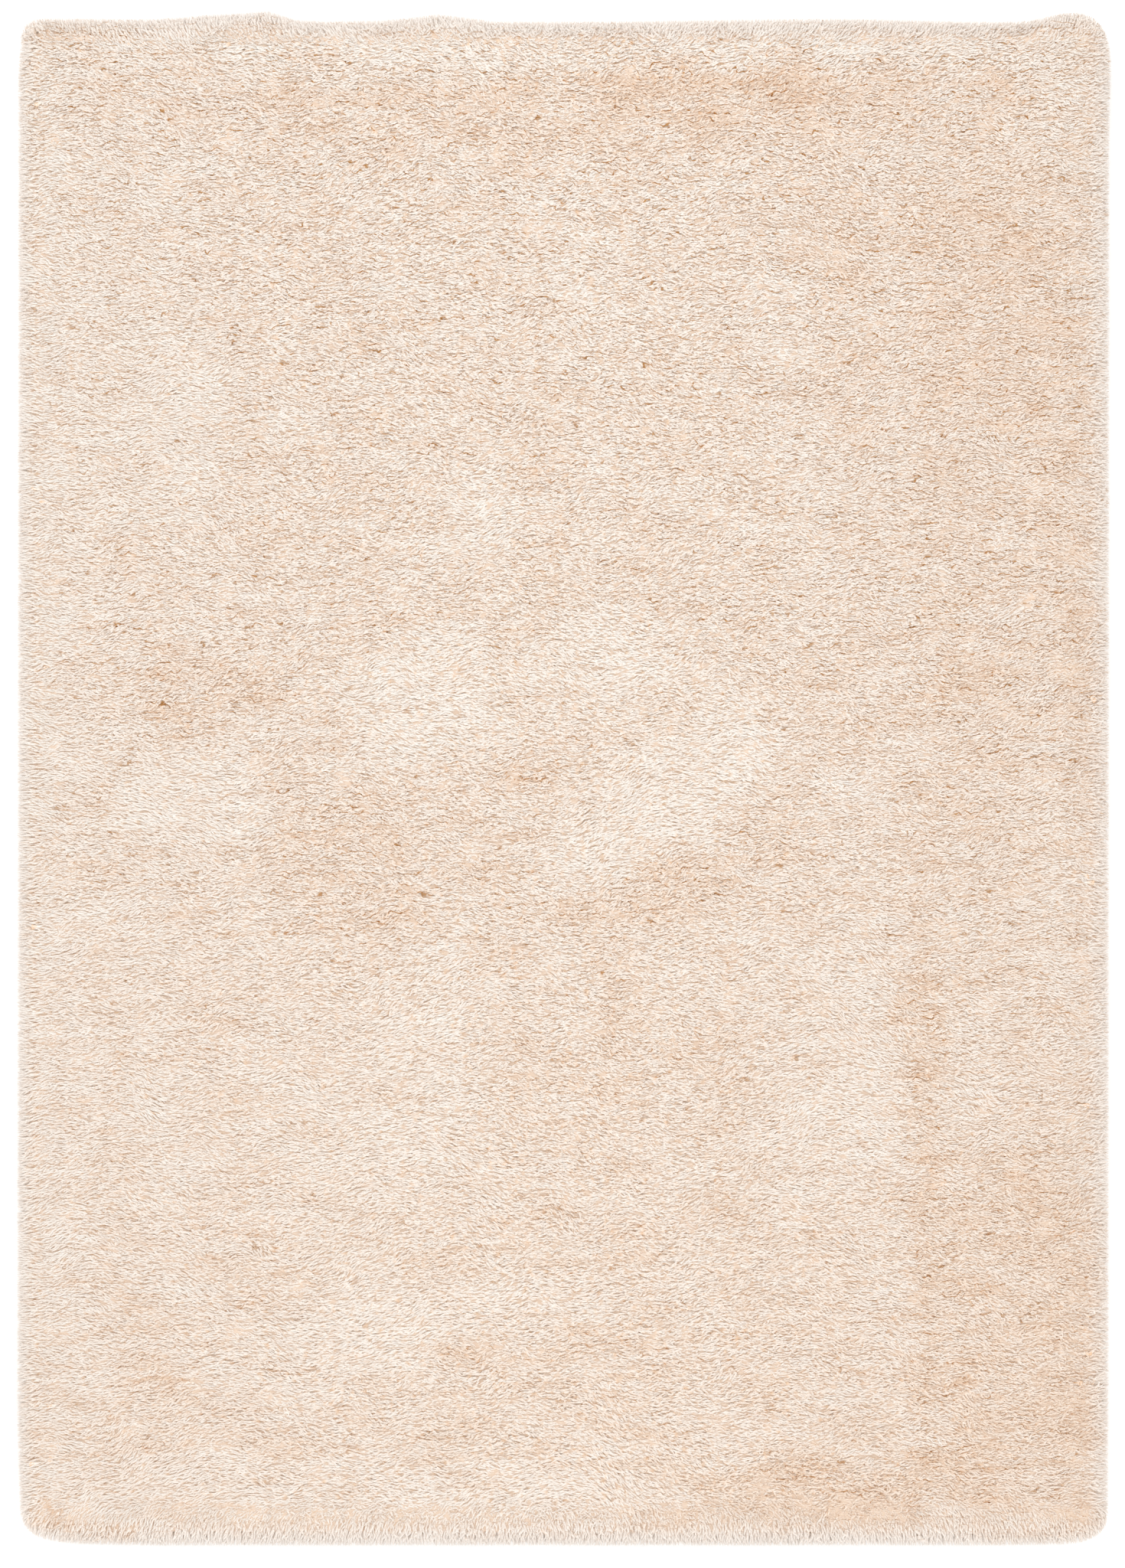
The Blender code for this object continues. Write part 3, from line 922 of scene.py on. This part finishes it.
def yarn_material(name):
    """Matt cream yarn, from the attributes that the ends carry."""
    material, shader, link = new_material(name, 0.9)
    tone_and_shade = add_node(material, "ShaderNodeAttribute", attribute_name="tone_and_shade")
    reach = add_node(material, "ShaderNodeAttribute", attribute_name="reach")
    rim_light = add_node(material, "ShaderNodeAttribute", attribute_name="rim_light")
    tones = add_node(material, "ShaderNodeValToRGB")
    ramp_stops(tones, YARN_TONES_AND_SHADE)
    # Painted shade towards the root.
    root_shade = add_node(material, "ShaderNodeValToRGB")
    ramp_stops(root_shade, ROOT_SHADE_TINT)
    root_shaded = add_node(material, "ShaderNodeMix", {"Factor": 1.0}, **TINT)
    # Painted light at the rim.
    rim_lit = add_node(material, "ShaderNodeMix", {"B": (*RIM_LIGHT_TONE, 1)}, data_type="RGBA")
    place = add_node(material, "ShaderNodeTexCoord")
    fibres = add_node(material, "ShaderNodeTexNoise", {"Scale": 1.0, "Detail": 1.0})
    grain = add_node(material, "ShaderNodeMapping", {"Scale": FIBRE_GRAIN})
    # Fibre grain and painted shade between fibres.
    fibre_grain_and_shade = add_node(material, "ShaderNodeValToRGB")
    ramp_stops(fibre_grain_and_shade, FIBRE_GRAIN_AND_SHADE_TINT)
    fleck_and_shade = add_node(material, "ShaderNodeAttribute", attribute_name="fleck_and_shade")
    grain_and_shade_mix = add_node(material, "ShaderNodeMix", clamp_factor=True, **TINT)
    relief = add_node(material, "ShaderNodeBump", {"Strength": 0.25, "Distance": 0.0004})
    # Painted shade of the finest cracks.
    cracks = add_node(material, "ShaderNodeTexWave", bands_direction="Y", inputs={
        "Scale": CRACK_SCALE, "Distortion": CRACK_WANDER, "Detail": 2.0, "Detail Scale": CRACK_WAVES})
    crack_shade = add_node(material, "ShaderNodeValToRGB")
    ramp_stops(crack_shade, CRACK_SHADE_TINT)
    drawn_out = add_node(material, "ShaderNodeMapping", {"Scale": CRACK_GAPS})
    gaps = add_node(material, "ShaderNodeTexNoise", {"Scale": 1.0, "Detail": 1.0})
    crack_shade_mask = add_node(material, "ShaderNodeMapRange",
                      {"From Min": CRACK_SHOWS[0], "From Max": CRACK_SHOWS[1]})
    share = add_node(material, "ShaderNodeMath", operation="MULTIPLY", use_clamp=True)
    crack_shaded = add_node(material, "ShaderNodeMix", **TINT)
    link(tone_and_shade.outputs["Fac"], tones.inputs["Fac"])
    link(reach.outputs["Fac"], root_shade.inputs["Fac"])
    link(tones.outputs["Color"], root_shaded.inputs["A"])
    link(root_shade.outputs["Color"], root_shaded.inputs["B"])
    link(rim_light.outputs["Fac"], rim_lit.inputs["Factor"])
    link(root_shaded.outputs["Result"], rim_lit.inputs["A"])
    link(place.outputs["Object"], grain.inputs["Vector"])
    link(grain.outputs["Vector"], fibres.inputs["Vector"])
    link(fibres.outputs["Fac"], fibre_grain_and_shade.inputs["Fac"])
    link(fleck_and_shade.outputs["Fac"], grain_and_shade_mix.inputs["Factor"])
    link(rim_lit.outputs["Result"], grain_and_shade_mix.inputs["A"])
    link(fibre_grain_and_shade.outputs["Color"], grain_and_shade_mix.inputs["B"])
    link(place.outputs["Object"], cracks.inputs["Vector"])
    link(cracks.outputs["Fac"], crack_shade.inputs["Fac"])
    link(place.outputs["Object"], drawn_out.inputs["Vector"])
    link(drawn_out.outputs["Vector"], gaps.inputs["Vector"])
    link(gaps.outputs["Fac"], crack_shade_mask.inputs["Value"])
    link(crack_shade_mask.outputs["Result"], share.inputs[0])
    link(fleck_and_shade.outputs["Fac"], share.inputs[1])
    link(share.outputs["Value"], crack_shaded.inputs["Factor"])
    link(grain_and_shade_mix.outputs["Result"], crack_shaded.inputs["A"])
    link(crack_shade.outputs["Color"], crack_shaded.inputs["B"])
    link(crack_shaded.outputs["Result"], shader.inputs["Base Color"])
    link(fibres.outputs["Fac"], relief.inputs["Height"])
    link(relief.outputs["Normal"], shader.inputs["Normal"])
    return material


yarn = yarn_material("cream_yarn")
for strip in pile:
    strip.data.materials.append(yarn)
print(f"{yarn.name} has {len(yarn.node_tree.nodes)} nodes")

# %% [markdown]
# The deep pile shows through the cracks, so it is painted as strands too: a noise
# that is stretched across the rug, from tan to brown, with the same noise as bump.
# Its colours are darker than the yarn on top: painted shade, for little light reaches that deep.
# The ground cloth is a plain weave: two sets of waves cross at right angles, and the
# higher of the two is the thread on top.

# %% Deep pile and cloth finishes
# Painted shade: the deep strands are darker than the yarn on top.
DEEP_SHADE_TONES = ((0.30, (0.66, 0.50, 0.38)), (0.70, (0.76, 0.63, 0.52)))
STRAND_STRETCH = (90, 420, 90)        # strands are drawn out across the rug
CLOTH_TONES = ((0.20, (0.50, 0.42, 0.32)), (0.80, (0.70, 0.61, 0.49)))
WEAVE_SCALE = 21                      # coarse threads, 15 mm apart
WEAVE_WANDER = 0.4


def deep_material(name):
    """Deep strands of yarn as a stretched noise, darkened as painted shade."""
    material, shader, link = new_material(name, 0.95)
    place = add_node(material, "ShaderNodeTexCoord")
    stretch = add_node(material, "ShaderNodeMapping", {"Scale": STRAND_STRETCH})
    strands = add_node(material, "ShaderNodeTexNoise", {"Scale": 1.0, "Detail": 3.0})
    tones = add_node(material, "ShaderNodeValToRGB")
    ramp_stops(tones, DEEP_SHADE_TONES)
    relief = add_node(material, "ShaderNodeBump", {"Strength": 0.6, "Distance": 0.002})
    link(place.outputs["Object"], stretch.inputs["Vector"])
    link(stretch.outputs["Vector"], strands.inputs["Vector"])
    link(strands.outputs["Fac"], tones.inputs["Fac"])
    link(tones.outputs["Color"], shader.inputs["Base Color"])
    link(strands.outputs["Fac"], relief.inputs["Height"])
    link(relief.outputs["Normal"], shader.inputs["Normal"])
    return material


def weave_material(name):
    """A plain weave of two crossing sets of threads."""
    material, shader, link = new_material(name, 0.9)
    place = add_node(material, "ShaderNodeTexCoord")
    crossing = []
    for direction in ("X", "Y"):
        threads = add_node(material, "ShaderNodeTexWave", bands_direction=direction,
                           inputs={"Scale": WEAVE_SCALE, "Distortion": WEAVE_WANDER})
        link(place.outputs["Object"], threads.inputs["Vector"])
        crossing.append(threads)
    top = add_node(material, "ShaderNodeMath", operation="MAXIMUM")
    tones = add_node(material, "ShaderNodeValToRGB")
    ramp_stops(tones, CLOTH_TONES)
    relief = add_node(material, "ShaderNodeBump", {"Strength": 0.5, "Distance": 0.0006})
    for socket, threads in enumerate(crossing):
        link(threads.outputs["Fac"], top.inputs[socket])
    link(top.outputs["Value"], tones.inputs["Fac"])
    link(tones.outputs["Color"], shader.inputs["Base Color"])
    link(top.outputs["Value"], relief.inputs["Height"])
    link(relief.outputs["Normal"], shader.inputs["Normal"])
    return material


deep_pile.data.materials.append(deep_material("deep_yarn"))
ground_cloth.data.materials.append(weave_material("ground_weave"))
print("deep_yarn and ground_weave are on")

# %% [markdown]
# The pieces are done, and now they are tied to the rug. All of them take the place of
# the CAD's one solid, which is hidden, and move with its one body.

# %% Put it all on the rug
for piece in [ground_cloth, deep_pile, *pile]:
    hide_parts("rug")
    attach(piece, "root")
